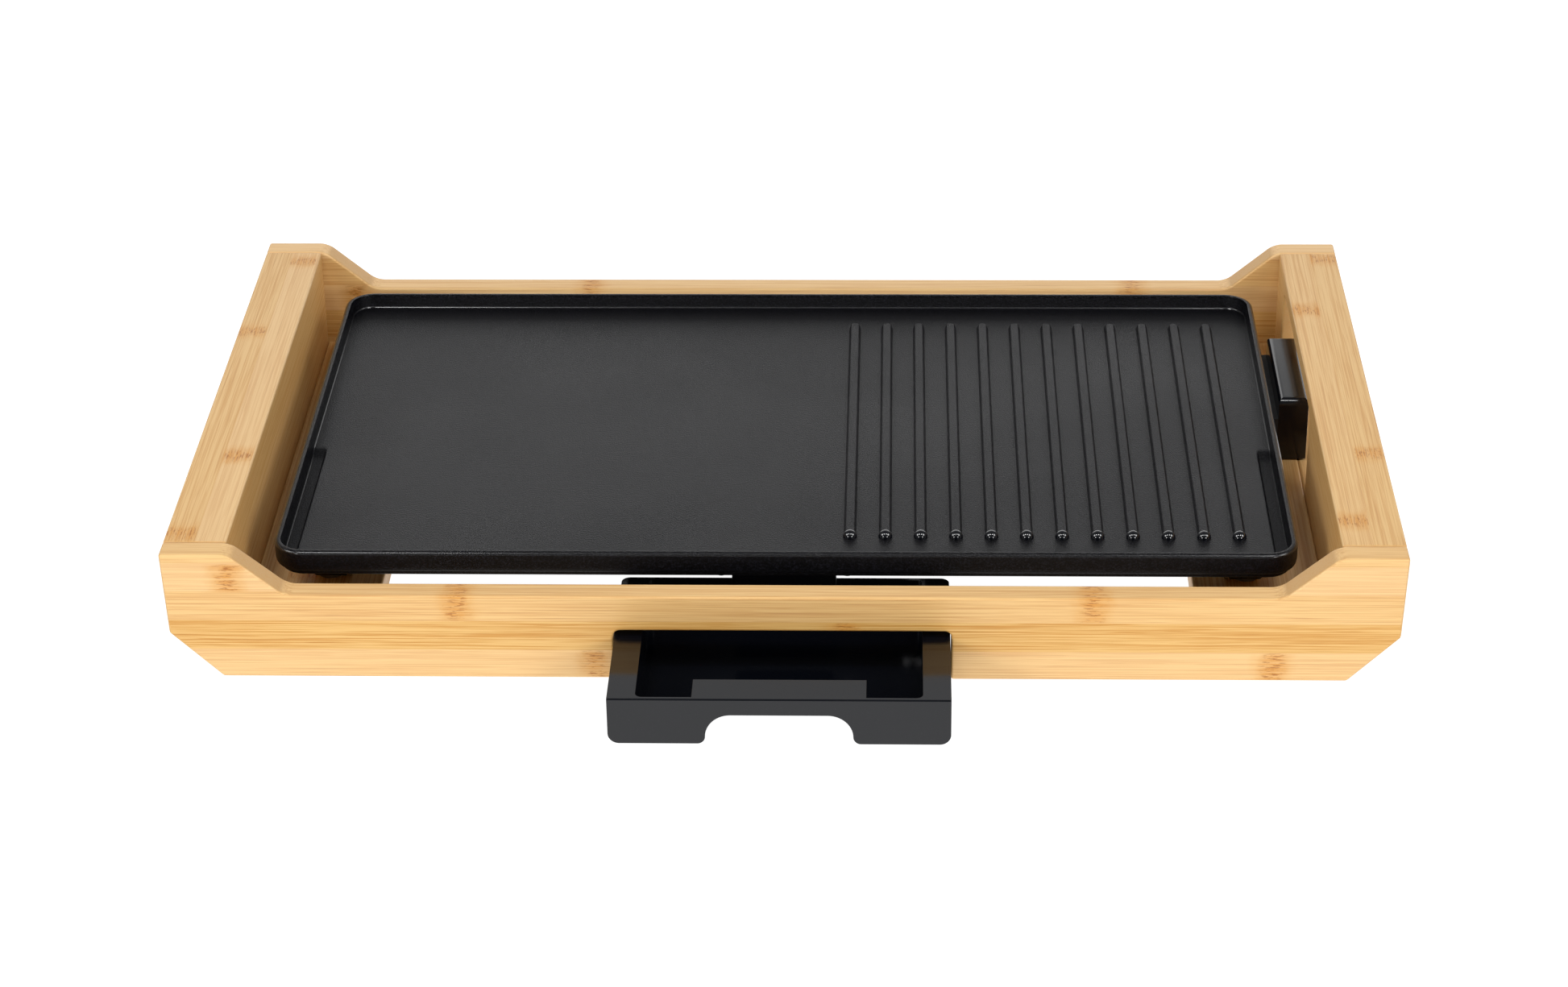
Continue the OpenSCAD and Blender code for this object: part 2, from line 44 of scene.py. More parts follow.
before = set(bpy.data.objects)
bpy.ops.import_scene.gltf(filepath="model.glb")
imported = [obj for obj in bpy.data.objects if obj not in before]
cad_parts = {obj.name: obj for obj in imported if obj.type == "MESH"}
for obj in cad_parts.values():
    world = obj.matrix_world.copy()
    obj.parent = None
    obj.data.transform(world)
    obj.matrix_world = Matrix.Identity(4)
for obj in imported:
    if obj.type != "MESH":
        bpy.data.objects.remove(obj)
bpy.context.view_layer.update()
MM = 0.001


# ---- Colours and properties ----


def linear(red, green, blue):
    """Scene colour of a screen colour given from 0 to 255."""

    def channel(value):
        value /= 255
        return value / 12.92 if value <= 0.04045 else ((value + 0.055) / 1.055) ** 2.4

    return (channel(red), channel(green), channel(blue), 1.0)


def length(name, description, millimetres):
    """A length property, given in millimetres and kept in metres."""
    return FloatProperty(
        name=name, description=description, default=millimetres * MM, unit="LENGTH", precision=4
    )


def colour(name, description, red, green, blue):
    """A colour property, given as a screen colour from 0 to 255."""
    return FloatVectorProperty(
        name=name,
        description=description,
        default=linear(red, green, blue),
        subtype="COLOR",
        size=4,
        min=0.0,
        max=1.0,
    )


def angle(name, description, degrees):
    """An angle property, given in degrees and kept in radians."""
    return FloatProperty(
        name=name, description=description, default=math.radians(degrees), unit="ROTATION"
    )


class GriddleFrameSettings(bpy.types.PropertyGroup):
    edge_radius: length("Edge radius", "Rounding of the bamboo edges", 1.2)
    slope_top: length("Slope top", "Distance from the end to the top of a board's slope", 31)
    slope_foot: length("Slope foot", "Distance from the end to the foot of a board's slope", 55.5)
    slope_drop: length("Slope drop", "How far the middle of a board lies below its ends", 21)
    slope_radius: length("Slope radius", "Rounding of the slope's two bends", 4)
    end_lean: length("End lean", "How far an end leans in above its chamfer", 1.4)
    end_chamfer: length("End chamfer", "Height and width of the chamfer under an end", 23)
    slot_width: length("Slot width", "Width of the drip tray's slot", 152.8)
    slot_height: length("Slot height", "Height of the drip tray's slot", 25.2)
    slot_radius: length("Slot radius", "Corner radius of the drip tray's slot", 3)
    opening_front: length("Opening front", "From the rail's middle to the opening's front jamb", 10)
    opening_back: length("Opening back", "From the rail's middle to the opening's back jamb", 125)
    opening_bridge: length("Bridge", "Height of the bridge over the opening", 9)
    opening_radius: length("Opening radius", "Corner radius of the rail's opening", 5)
    bamboo_light: colour("Bamboo, light", "Pale fibres of the bamboo", 228, 184, 112)
    bamboo_dark: colour("Bamboo, dark", "Dark fibres of the bamboo", 204, 146, 66)
    bamboo_pale: colour("Bamboo, pale strip", "Strips from the cane's inner wall", 228, 194, 148)
    bamboo_amber: colour("Bamboo, amber", "Amber wood round a knuckle", 208, 144, 60)
    bamboo_knuckle: colour("Bamboo knuckle", "Rings where the cane had its knuckles", 158, 92, 24)
    bamboo_end: colour("Bamboo end grain", "Cut ends of the fibres", 204, 162, 104)


class GriddlePlateSettings(bpy.types.PropertyGroup):
    corner_radius: length("Corner radius", "Radius of the plate's corners", 14)
    gutter_depth: length("Gutter depth", "Depth of the grease gutter below the well", 2)
    gutter_start: length("Gutter start", "From the plate's middle forward to the gutter's start", 22.5)
    gutter_ramp: length("Gutter ramp", "Length over which the gutter reaches its depth", 6)
    drain_length: length("Drain length", "Length of the drain slot in the gutter", 36)
    rib_count: IntProperty(name="Ribs", description="Number of ribs", default=12, min=1, max=14)
    rib_pitch: length("Rib pitch", "Distance between ribs", 16.35)
    rib_middle: length("Rib middle", "Middle of the ribbed area, from the plate's middle", 120)
    rib_front: length("Rib front", "From the plate's middle forward to a rib's front end", 107.3)
    rib_back: length("Rib back", "From the plate's middle back to a rib's back end", 108)
    rib_height: length("Rib height", "Height of the ribs over the well", 2.5)
    bead_radius: length("Bead radius", "Radius of the bead at the front end of a rib", 3.3)
    coating: colour("Coating", "Non-stick coating of the plate", 5, 5, 7)
    plastic: colour("Plastic", "Gloss plastic of the tray, socket and legs", 7, 9, 15)


class GriddleStageSettings(bpy.types.PropertyGroup):
    floor: colour("Floor", "Colour of the floor", 120, 120, 120)
    sky: FloatProperty(name="Sky", description="Strength of the even light", default=0.16, min=0.0)
    key: FloatProperty(
        name="Key light", description="Power of each front softbox", default=9.7, min=0.0, unit="POWER"
    )
    back: FloatProperty(
        name="Back light", description="Power of each back panel", default=9.5, min=0.0, unit="POWER"
    )
    lens: FloatProperty(name="Lens", description="Focal length in millimetres", default=82.63)
    heading: angle("Heading", "The camera's turn about the upright axis", 2.023)
    tilt: angle("Tilt", "How far the camera looks down from level", 29.068)
    roll: angle("Roll", "The camera's turn about its own line of sight", -0.805)


# ---- Node trees ----


def add(tree, kind, inputs=None, **settings):
    """A new node with its settings and its inputs, which are values or sockets to link."""
    node = tree.nodes.new(kind)
    for key, value in settings.items():
        setattr(node, key, value)
    for key, value in (inputs or {}).items():
        if isinstance(value, bpy.types.NodeSocket):
            tree.links.new(value, node.inputs[key])
        else:
            node.inputs[key].default_value = value
    return node


def calc(tree, operation, *values, clamp=False):
    """The result of a Math node."""
    inputs = dict(enumerate(values))
    return add(tree, "ShaderNodeMath", inputs, operation=operation, use_clamp=clamp).outputs[0]


def remap(tree, value, low, high, to_low=0.0, to_high=1.0):
    """value eased from low..high to to_low..to_high."""
    inputs = {"Value": value, "From Min": low, "From Max": high, "To Min": to_low, "To Max": to_high}
    node = add(tree, "ShaderNodeMapRange", inputs, interpolation_type="SMOOTHSTEP")
    return node.outputs["Result"]


def mixed(tree, factor, first, second):
    """The colour between first and second that lies at factor."""
    inputs = {0: factor, 6: first, 7: second}
    return add(tree, "ShaderNodeMix", inputs, data_type="RGBA").outputs[2]


def noise(tree, vector, scale=1.0, detail=2.0, roughness=0.5):
    """Noise from 0 to 1 at the vector."""
    inputs = {"Vector": vector, "Scale": scale, "Detail": detail, "Roughness": roughness}
    return add(tree, "ShaderNodeTexNoise", inputs).outputs[0]


def combined(tree, x, y, z):
    return add(tree, "ShaderNodeCombineXYZ", {"X": x, "Y": y, "Z": z}).outputs[0]


def new_group(name, inputs, outputs):
    """An empty shader group: (group, its input sockets, its output node)."""
    group = bpy.data.node_groups.new(name, "ShaderNodeTree")
    for label, kind, value in inputs:
        socket = group.interface.new_socket(label, in_out="INPUT", socket_type=kind)
        if value is not None:
            socket.default_value = value
    for label in outputs:
        group.interface.new_socket(label, in_out="OUTPUT", socket_type="NodeSocketFloat")
    start = group.nodes.new("NodeGroupInput")
    return group, start.outputs, group.nodes.new("NodeGroupOutput")


def bamboo_grain():
    """Fibres, strip tones and glue lines. X runs along the grain and Y across the strips.

    Streak goes past 1 where a dash lies on a dark fibre, and Tone has one value for each strip.
    """
    tree, given, out = new_group(
        "Bamboo grain",
        [
            ("Coordinates", "NodeSocketVector", None),
            ("Strip Width", "NodeSocketFloat", 15 * MM),
            ("Seed", "NodeSocketFloat", 0.0),
        ],
        ["Streak", "Tone", "Seam", "Fibre"],
    )
    parts = add(tree, "ShaderNodeSeparateXYZ", {0: given["Coordinates"]}).outputs
    along, across, depth = parts[0], parts[1], parts[2]
    strip = calc(tree, "DIVIDE", across, given["Strip Width"])
    index = calc(tree, "ADD", calc(tree, "FLOOR", strip), given["Seed"])
    tone = add(tree, "ShaderNodeTexWhiteNoise", {"W": index}, noise_dimensions="1D").outputs["Value"]
    shifted = calc(tree, "MULTIPLY_ADD", tone, 3.7, along)

    def fibres(lengthwise, crosswise, detail):
        vector = combined(
            tree,
            calc(tree, "MULTIPLY", shifted, lengthwise),
            calc(tree, "MULTIPLY", across, crosswise),
            calc(tree, "MULTIPLY", depth, crosswise),
        )
        return noise(tree, vector, 1.0, detail, 0.6)

    fine = fibres(14.0, 1500.0, 3.0)
    broad = fibres(5.0, 450.0, 1.0)
    dashes = remap(tree, fibres(30.0, 2300.0, 1.0), 0.57, 0.66)
    streak = remap(tree, calc(tree, "MULTIPLY_ADD", broad, 0.15, fine), 0.47, 0.74)
    streak = calc(tree, "MULTIPLY_ADD", dashes, 0.6, streak)
    edge = calc(tree, "PINGPONG", strip, 0.5)
    near = calc(tree, "MULTIPLY", edge, given["Strip Width"])
    seam = remap(tree, near, 0.0, 0.3 * MM, 1.0, 0.0)
    for label, socket in zip(("Streak", "Tone", "Seam"), (streak, tone, seam)):
        tree.links.new(socket, out.inputs[label])
    tree.links.new(calc(tree, "SUBTRACT", fine, seam), out.inputs["Fibre"])
    return tree


def bamboo_knuckle():
    """Where the cane had a knuckle: a soft zone across one strip, with short threads in its middle."""
    tree, given, out = new_group(
        "Bamboo knuckle",
        [
            ("Coordinates", "NodeSocketVector", None),
            ("Along", "NodeSocketFloat", 0.0),
            ("Across", "NodeSocketFloat", 0.0),
            ("Half Length", "NodeSocketFloat", 12 * MM),
            ("Half Width", "NodeSocketFloat", 7.5 * MM),
        ],
        ["Zone", "Threads"],
    )
    parts = add(tree, "ShaderNodeSeparateXYZ", {0: given["Coordinates"]}).outputs
    warp = calc(tree, "SUBTRACT", noise(tree, given["Coordinates"], 160.0, 2.0), 0.5)
    along = calc(tree, "SUBTRACT", parts[0], given["Along"])
    along = calc(tree, "MULTIPLY_ADD", warp, 8 * MM, along)
    along = calc(tree, "ABSOLUTE", calc(tree, "DIVIDE", along, given["Half Length"]))
    across = calc(tree, "SUBTRACT", parts[1], given["Across"])
    across = calc(tree, "ABSOLUTE", calc(tree, "DIVIDE", across, given["Half Width"]))
    threads_at = combined(
        tree,
        calc(tree, "MULTIPLY", parts[0], 190.0),
        calc(tree, "MULTIPLY", parts[1], 1200.0),
        calc(tree, "MULTIPLY", parts[2], 1200.0),
    )
    threads = remap(tree, noise(tree, threads_at, 1.0, 3.0, 0.7), 0.5, 0.62)
    inside = remap(tree, across, 0.8, 1.05, 1.0, 0.0)
    zone = calc(tree, "MULTIPLY", remap(tree, along, 0.0, 1.0, 1.0, 0.0), inside)
    core = calc(tree, "MULTIPLY", remap(tree, along, 0.1, 0.6, 1.0, 0.0), inside)
    threads = calc(tree, "MULTIPLY", threads, core)
    tree.links.new(zone, out.inputs["Zone"])
    tree.links.new(threads, out.inputs["Threads"])
    return tree


def surface_specks():
    """Fine specks, a soft orange peel and slow clouds, for coatings, plastics and metals."""
    tree, given, out = new_group(
        "Surface specks",
        [
            ("Coordinates", "NodeSocketVector", None),
            ("Speck Scale", "NodeSocketFloat", 1500.0),
            ("Peel Scale", "NodeSocketFloat", 450.0),
            ("Cloud Scale", "NodeSocketFloat", 9.0),
        ],
        ["Specks", "Peel", "Clouds"],
    )
    kinds = (
        ("Specks", "Speck Scale", 1.0),
        ("Peel", "Peel Scale", 2.0),
        ("Clouds", "Cloud Scale", 3.0),
    )
    for label, scale, detail in kinds:
        tree.links.new(noise(tree, given["Coordinates"], given[scale], detail), out.inputs[label])
    return tree


def grouped(tree, name, **inputs):
    """A placed shader group, with its inputs by name."""
    node = tree.nodes.new("ShaderNodeGroup")
    node.node_tree = bpy.data.node_groups[name]
    for key, value in inputs.items():
        socket = node.inputs[key.replace("_", " ")]
        if isinstance(value, bpy.types.NodeSocket):
            tree.links.new(value, socket)
        else:
            socket.default_value = value
    return node.outputs


def new_material(name):
    """(material, tree, Principled BSDF, Object coordinates, object-space normal)."""
    material = bpy.data.materials.new(name)
    material.use_nodes = True
    tree = material.node_tree
    shader = tree.nodes["Principled BSDF"]
    place = tree.nodes.new("ShaderNodeTexCoord")
    return material, tree, shader, place.outputs["Object"], place.outputs["Normal"]


def bump(tree, shader, height, strength, distance):
    """Raises the surface by the height, up to the distance."""
    inputs = {"Height": height, "Strength": strength, "Distance": distance}
    tree.links.new(add(tree, "ShaderNodeBump", inputs).outputs[0], shader.inputs["Normal"])


# What each bamboo piece's grain follows: object axes along the grain, across the strips, and deep
ALONG_X = ("X", "Z", "Y")
ALONG_Y = ("Y", "X", "Z")


def bamboo(name, axes, strip_width, strip_origin, seed, knuckles, painted_shade_factor=1.0):
    """Laminated bamboo. knuckles are (along, across) in metres. The last argument, below 1, darkens the
    whole piece as painted shade: the rails get less light than the boards, and the bottom boards lie
    under the plate.
    """
    colours = bpy.context.scene.griddle_frame
    dark, knuckle = colours.bamboo_dark[:], colours.bamboo_knuckle[:]
    material, tree, shader, place, normal = new_material(name)
    parts = add(tree, "ShaderNodeSeparateXYZ", {0: place}).outputs
    facing = add(tree, "ShaderNodeSeparateXYZ", {0: normal}).outputs
    across = calc(tree, "SUBTRACT", parts[axes[1]], strip_origin)
    turned = combined(tree, parts[axes[0]], across, parts[axes[2]])
    grain = grouped(tree, "Bamboo grain", Coordinates=turned, Strip_Width=strip_width, Seed=seed)
    base = mixed(tree, grain["Streak"], colours.bamboo_light[:], dark)
    deep = calc(tree, "MULTIPLY_ADD", grain["Streak"], 0.6, -0.6, clamp=True)
    base = mixed(tree, deep, base, knuckle)
    base = mixed(tree, calc(tree, "MULTIPLY", grain["Tone"], 0.55), base, colours.bamboo_pale[:])
    # Each strip's random tone, scaled by the last argument, which darkens the whole piece as painted
    # shade
    shade = remap(tree, grain["Tone"], 0.0, 1.0, 0.96 * painted_shade_factor, 1.04 * painted_shade_factor)
    base = add(tree, "ShaderNodeVectorMath", {0: base, "Scale": shade}, operation="SCALE").outputs[0]
    base = mixed(tree, calc(tree, "MULTIPLY", grain["Seam"], 0.3), base, dark)

    for along, over in knuckles:
        middle = over - strip_origin
        half_width = strip_width / 2
        ring = grouped(
            tree, "Bamboo knuckle", Coordinates=turned, Along=along, Across=middle, Half_Width=half_width
        )
        tint = calc(tree, "MULTIPLY_ADD", grain["Streak"], 0.5, 0.45)
        tint = calc(tree, "MULTIPLY", ring["Zone"], tint, clamp=True)
        base = mixed(tree, tint, base, colours.bamboo_amber[:])
        base = mixed(tree, calc(tree, "MULTIPLY", ring["Threads"], 0.8), base, knuckle)

    cut = remap(tree, calc(tree, "ABSOLUTE", facing[axes[0]]), 0.35, 0.6)
    dots = remap(tree, noise(tree, place, 900.0, 2.0), 0.35, 0.7)
    ends = mixed(tree, calc(tree, "MULTIPLY", dots, 0.3), colours.bamboo_end[:], dark)
    base = mixed(tree, cut, base, ends)
    tree.links.new(base, shader.inputs["Base Color"])
    tree.links.new(remap(tree, grain["Streak"], 0.0, 1.0, 0.4, 0.5), shader.inputs["Roughness"])
    shader.inputs["Specular IOR Level"].default_value = 0.5
    bump(tree, shader, grain["Fibre"], 0.25, 0.12 * MM)
    return material


def plate_coating(name, gutter_z, floor_z, sheen):
    """Black non-stick coating: semi-matt, with fine specks, and matter in the gutter.

    sheen is how far the slopes of the rim and of the wall's foot shine. The step from the well down
    to the gutter stays dull.
    """
    material, tree, shader, place, normal = new_material(name)
    base = bpy.context.scene.griddle_plate.coating
    specks = grouped(tree, "Surface specks", Coordinates=place, Speck_Scale=1300.0, Peel_Scale=2000.0)
    lighter = tuple(8.0 * c for c in base[:3]) + (1.0,)
    fine = remap(tree, specks["Specks"], 0.45, 0.8)
    tree.links.new(mixed(tree, fine, base[:], lighter), shader.inputs["Base Color"])
    height = add(tree, "ShaderNodeSeparateXYZ", {0: place}).outputs[2]
    worn = remap(tree, specks["Clouds"], 0.3, 0.7, 0.0, 0.08)
    low = remap(tree, height, gutter_z + 0.1 * MM, gutter_z + 0.5 * MM, 0.5, 0.3)
    rim = remap(tree, height, floor_z + 5 * MM, floor_z + 6 * MM, 0.0, -0.12)
    rough = calc(tree, "ADD", calc(tree, "ADD", low, rim), worn)
    tree.links.new(rough, shader.inputs["Roughness"])
    shader.inputs["Specular IOR Level"].default_value = 0.2
    if sheen:
        facing = add(tree, "ShaderNodeSeparateXYZ", {0: normal}).outputs[2]
        slope = remap(tree, facing, 0.9, 0.97, sheen, 0.0)
        slope = calc(tree, "MULTIPLY", slope, remap(tree, facing, 0.1, 0.4))
        step = calc(tree, "COMPARE", height, floor_z - 0.6 * MM, 0.65 * MM)
        slope = calc(tree, "MULTIPLY", slope, calc(tree, "SUBTRACT", 1.0, step))
        tree.links.new(slope, shader.inputs["Coat Weight"])
        shader.inputs["Coat Roughness"].default_value = 0.14
    grain = calc(tree, "MULTIPLY_ADD", specks["Specks"], 0.6, specks["Peel"])
    bump(tree, shader, grain, 0.5, 0.5 * MM)
    return material


def black_plastic(name, roughness, peel, matt_below_x=None):
    """Moulded black plastic with a faint waviness, a little dust and, if asked, a matt inner part."""
    material, tree, shader, place, _ = new_material(name)
    base = bpy.context.scene.griddle_plate.plastic
    specks = grouped(tree, "Surface specks", Coordinates=place, Speck_Scale=2200.0, Peel_Scale=60.0)
    dust = remap(tree, specks["Specks"], 0.72, 0.8, 0.0, 0.12)
    tree.links.new(mixed(tree, dust, base[:], linear(120, 120, 122)), shader.inputs["Base Color"])
    low, high = roughness * 0.85, roughness * 1.2
    gloss = remap(tree, specks["Clouds"], 0.3, 0.7, low, high)
    if matt_below_x is not None:
        x = add(tree, "ShaderNodeSeparateXYZ", {0: place}).outputs[0]
        matt = calc(tree, "LESS_THAN", x, matt_below_x)
        gloss = calc(tree, "MULTIPLY_ADD", matt, 0.5, gloss)
    tree.links.new(gloss, shader.inputs["Roughness"])
    bump(tree, shader, specks["Peel"], peel, 0.4 * MM)
    return material


def bare_metal(name, base, roughness, stain=None):
    """Metal with faint rolling marks, and a heat stain where one is given."""
    material, tree, shader, place, _ = new_material(name)
    specks = grouped(tree, "Surface specks", Coordinates=place, Cloud_Scale=35.0)
    darker = tuple(0.7 * c for c in base[:3]) + (1.0,)
    tone = mixed(tree, remap(tree, specks["Peel"], 0.3, 0.7), base, darker)
    if stain:
        tone = mixed(tree, remap(tree, specks["Clouds"], 0.42, 0.62), tone, stain)
    tree.links.new(tone, shader.inputs["Base Color"])
    shader.inputs["Metallic"].default_value = 1.0
    low, high = roughness * 0.8, roughness * 1.3
    tree.links.new(remap(tree, specks["Clouds"], 0.3, 0.7, low, high), shader.inputs["Roughness"])
    bump(tree, shader, specks["Specks"], 0.08, 0.1 * MM)
    return material


def dull_solid(name, base, roughness, mottle, grain):
    """Rubber, ceramic or plain wood: one colour with a soft mottle."""
    material, tree, shader, place, _ = new_material(name)
    specks = grouped(tree, "Surface specks", Coordinates=place, Cloud_Scale=60.0)
    other = tuple(mottle * c for c in base[:3]) + (1.0,)
    tone = mixed(tree, remap(tree, specks["Clouds"], 0.3, 0.7), base, other)
    tree.links.new(tone, shader.inputs["Base Color"])
    shader.inputs["Roughness"].default_value = roughness
    bump(tree, shader, specks["Specks"], grain, 0.2 * MM)
    return material


# ---- Shapes ----


def flat_outline(points):
    """A mesh with one flat face through the points."""
    bm = bmesh.new()
    bm.faces.new([bm.verts.new(point) for point in points])
    bm.verts.ensure_lookup_table()
    return bm


def round_outline(bm, verts, radius, segments=6):
    """Rounds the outline's corners at the vertices."""
    bmesh.ops.bevel(
        bm, geom=verts, offset=radius, offset_type="OFFSET", segments=segments, profile=0.5,
        affect="VERTICES", clamp_overlap=True, material=-1,
    )


def thicken(bm, offset):
    """Extrudes the flat outline into a closed solid."""
    out = bmesh.ops.extrude_face_region(bm, geom=bm.faces[:])
    moved = [item for item in out["geom"] if isinstance(item, bmesh.types.BMVert)]
    bmesh.ops.translate(bm, verts=moved, vec=offset)
    bmesh.ops.recalc_face_normals(bm, faces=bm.faces[:])


def ease_edges(bm, radius, segments=3, pick=None):
    """Rounds every edge that turns by more than 30 degrees, or those of them that pick accepts."""
    sharp = [
        edge
        for edge in bm.edges
        if edge.is_manifold
        and abs(edge.calc_face_angle_signed(0.0)) > math.radians(30)
        and (pick is None or pick(edge))
    ]
    bmesh.ops.bevel(
        bm, geom=sharp, offset=radius, offset_type="OFFSET", segments=segments, profile=0.5,
        affect="EDGES", clamp_overlap=True, material=-1,
    )


def slice_off(bm, point, normal):
    """Cuts away what lies beyond a plane and closes the cut."""
    everything = bm.verts[:] + bm.edges[:] + bm.faces[:]
    out = bmesh.ops.bisect_plane(
        bm, geom=everything, dist=1e-7, plane_co=point, plane_no=normal, clear_outer=True
    )
    cut = [item for item in out["geom_cut"] if isinstance(item, bmesh.types.BMEdge)]
    bmesh.ops.edgeloop_fill(bm, edges=cut)
    bmesh.ops.recalc_face_normals(bm, faces=bm.faces[:])


def clean_flats(bm):
    """Joins neighbouring faces that lie in one plane."""
    bmesh.ops.dissolve_limit(
        bm, angle_limit=math.radians(0.3), verts=bm.verts[:], edges=bm.edges[:]
    )


def merged_copy(node):
    """A CAD node's mesh with its triangles joined, ready for its edges to be rounded."""
    bm = bmesh.new()
    bm.from_mesh(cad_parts[node].data)
    bmesh.ops.remove_doubles(bm, verts=bm.verts[:], dist=1e-6)
    clean_flats(bm)
    return bm


def finish_piece(name, bm, material, body, nodes):
    """Makes the mesh an object that rides on its body and stands for its CAD nodes."""
    mesh = bpy.data.meshes.new(name)
    bm.to_mesh(mesh)
    bm.free()
    mesh.polygons.foreach_set("use_smooth", [True] * len(mesh.polygons))
    mesh.set_sharp_from_angle(angle=math.radians(40))
    mesh.materials.append(material)
    piece = bpy.data.objects.new(name, mesh)
    bpy.context.scene.collection.objects.link(piece)
    smoother = piece.modifiers.new("Face weighted normals", "WEIGHTED_NORMAL")
    smoother.keep_sharp = True
    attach(piece, body)
    if nodes:
        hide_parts(*nodes)
    return piece


def finish_node(node, material):
    """Gives a CAD node its material."""
    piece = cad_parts[node]
    piece.data.materials.clear()
    piece.data.materials.append(material)


# ---- Frame ----


def board(node):
    """Front or back board, with its sloped shoulders, chamfered ends and, in front, the tray slot."""
    sizes = bpy.context.scene.griddle_frame
    low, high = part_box(node)
    top = high.z - sizes.slope_drop
    half = high.x
    right = [
        (half - sizes.slope_foot, top),
        (half - sizes.slope_top, high.z),
        (half, high.z),
        (half - sizes.end_lean, low.z + sizes.end_chamfer),
        (half - sizes.end_lean - sizes.end_chamfer, low.z),
    ]
    if node == "front_board":
        slot = sizes.slot_width / 2
        right += [(slot, low.z), (slot, low.z + sizes.slot_height)]
    left = [(-x, z) for x, z in reversed(right)]
    bm = flat_outline([(x, low.y, z) for x, z in right + left])
    count = len(right)
    bends = [bm.verts[i] for i in (0, 1, 2 * count - 1, 2 * count - 2)]
    slot_corners = bm.verts[count - 1 : count + 1]
    round_outline(bm, bends, sizes.slope_radius, 5)
    if node == "front_board":
        round_outline(bm, slot_corners, sizes.slot_radius)
    thicken(bm, (0, high.y - low.y, 0))
    ease_edges(bm, sizes.edge_radius)
    return bm


def rail(node, side):
    """End rail: a block leaning and chamfered on its outside, the right one with the plug opening."""
    sizes = bpy.context.scene.griddle_frame
    low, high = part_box(node)
    inner = low.x if side > 0 else high.x
    outer = high.x if side > 0 else low.x
    corners = [(low.y, low.z), (high.y, low.z), (high.y, high.z), (low.y, high.z)]
    bm = flat_outline([(inner, y, z) for y, z in corners])
    if side > 0:
        middle = (low.y + high.y) / 2
        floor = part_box("right_bottom_board")[1].z
        jambs = (middle - sizes.opening_front, middle + sizes.opening_back)
        head = high.z - sizes.opening_bridge
        opening = [(jambs[0], floor), (jambs[0], head), (jambs[1], head), (jambs[1], floor)]
        verts = [bm.verts.new((inner, y, z)) for y, z in opening]
        bm.faces.new(verts)
        round_outline(bm, verts[1:3], sizes.opening_radius)
        bmesh.ops.delete(bm, geom=bm.faces[:], context="FACES_KEEP_BOUNDARY")
        bmesh.ops.triangle_fill(bm, edges=bm.edges[:], use_beauty=True, use_dissolve=False)
    thicken(bm, (outer - inner, 0, 0))
    knee = Vector((outer - side * sizes.end_lean, 0, low.z + sizes.end_chamfer))
    slice_off(bm, knee, Vector((side, 0, -1)).normalized())
    lean = Vector((side * (high.z - knee.z), 0, -sizes.end_lean)).normalized()
    slice_off(bm, knee, lean)
    clean_flats(bm)
    ease_edges(bm, sizes.edge_radius)
    return bm


def bottom_board(node):
    """Bottom board that the griddle's feet stand on."""
    low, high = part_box(node)
    corners = [(low.x, low.y), (high.x, low.y), (high.x, high.y), (low.x, high.y)]
    bm = flat_outline([(x, y, low.z) for x, y in corners])
    thicken(bm, (0, 0, high.z - low.z))
    ease_edges(bm, bpy.context.scene.griddle_frame.edge_radius)
    return bm


class GRIDDLE_OT_boards(bpy.types.Operator):
    """Builds the front and back boards"""

    bl_idname = "griddle.boards"
    bl_label = "Front and back boards"

    def execute(self, context):
        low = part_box("front_board")[0].z
        strip = 15 * MM
        front_knuckles = [
            (-147 * MM, low + 37.5 * MM), (140 * MM, low + 37.5 * MM), (29 * MM, low + 22.5 * MM),
            (-85 * MM, low + 7.5 * MM), (222 * MM, low + 7.5 * MM), (-250 * MM, low + 52 * MM),
        ]
        back_knuckles = [
            (-110 * MM, low + 37.5 * MM), (175 * MM, low + 37.5 * MM), (-30 * MM, low + 22.5 * MM),
            (60 * MM, low + 7.5 * MM), (-234 * MM, low + 37.5 * MM), (262 * MM, low + 52 * MM),
        ]
        front = bamboo("Bamboo, front board", ALONG_X, strip, low, 3.0, front_knuckles)
        back = bamboo("Bamboo, back board", ALONG_X, strip, low, 11.0, back_knuckles)
        finish_piece("board_front", board("front_board"), front, "frame", ["front_board"])
        finish_piece("board_back", board("back_board"), back, "frame", ["back_board"])
        return {"FINISHED"}


class GRIDDLE_OT_rails(bpy.types.Operator):
    """Builds the two end rails"""

    bl_idname = "griddle.rails"
    bl_label = "End rails"

    def execute(self, context):
        middle = (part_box("left_rail")[0].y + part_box("left_rail")[1].y) / 2
        strip = 14.5 * MM
        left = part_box("left_rail")[0].x
        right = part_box("right_rail")[0].x
        left_knuckles = [
            (middle - 71 * MM, left + 21 * MM), (middle - 145 * MM, left + 7.2 * MM),
            (middle + 60 * MM, left + 7.2 * MM), (middle + 142 * MM, left + 21 * MM),
        ]
        right_knuckles = [
            (middle + 86 * MM, right + 7.2 * MM), (middle - 66 * MM, right + 21.7 * MM),
            (middle + 146 * MM, right + 21.7 * MM), (middle - 130 * MM, right + 7.2 * MM),
        ]
        # The rails' wood is 4 % darker as painted shade: they get less light than the front and back
        # boards
        woods = (
            bamboo("Bamboo, left rail", ALONG_Y, strip, left, 5.0, left_knuckles, 0.96),
            bamboo("Bamboo, right rail", ALONG_Y, strip, right, 8.0, right_knuckles, 0.96),
        )
        finish_piece("rail_left", rail("left_rail", -1), woods[0], "frame", ["left_rail"])
        finish_piece("rail_right", rail("right_rail", 1), woods[1], "frame", ["right_rail"])
        return {"FINISHED"}


